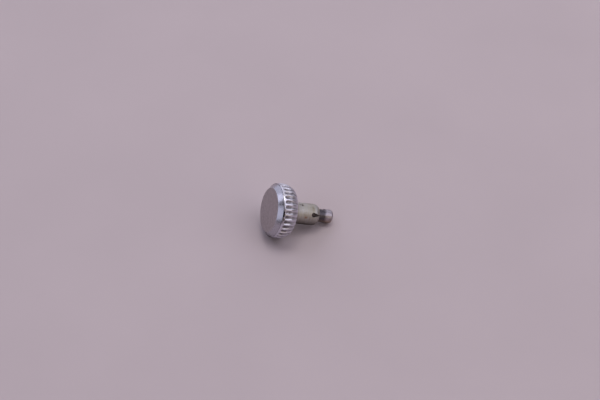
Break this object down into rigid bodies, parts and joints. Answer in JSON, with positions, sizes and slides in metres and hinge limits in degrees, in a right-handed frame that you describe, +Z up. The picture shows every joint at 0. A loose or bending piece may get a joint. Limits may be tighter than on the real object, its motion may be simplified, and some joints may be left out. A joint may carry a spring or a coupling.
{
  "type": "screw-down watch crown",
  "caption": "Fluted steel winding crown for a wristwatch, with a screw-down recess, a crimped spring tube and a sprung, keyed stem core that slides into it.",
  "frame": {"origin": "on the table, midway along and across the crown as it lies at rest on its fluted barrel and on the tip of its stem core", "axes": "+Z up from the table; the crown's own axis lies in the XZ plane, its tip towards +X and down by 21.3 degrees, its flat face towards -X; +Y to the side, so the longest extent is along X"},
  "size_m": [0.008, 0.006, 0.0058],
  "materials": {
    "polished_steel": "stainless steel, face finely brushed, bevel polished",
    "fluted_steel": "stainless steel, turned and fluted, worn bright on the crests",
    "bush_brass": "turned and tapped brass",
    "gasket_rubber": "matt black nitrile rubber",
    "washer_steel": "stamped stainless steel shim",
    "nickel_silver": "drawn nickel silver, dull, with brown stains",
    "spring_steel": "drawn spring wire",
    "core_steel": "turned steel, bright tip, darkened neck"
  },
  "bodies": {
    "head": {"face_cap": "polished_steel", "fluted_body": "fluted_steel", "thread_bush": "bush_brass", "gasket": "gasket_rubber", "gasket_washer": "washer_steel", "spring_tube": "nickel_silver", "compression_spring": "spring_steel"},
    "core": {"stem_core": "core_steel"}
  },
  "joints": [
    {"name": "core_slide", "type": "slide", "parent": "head", "child": "core", "axis": [-0.9315, 0, 0.3637], "range_m": [0, 0.0007], "stiffness_N_per_m": 750, "deforming": ["compression_spring"]}
  ]
}
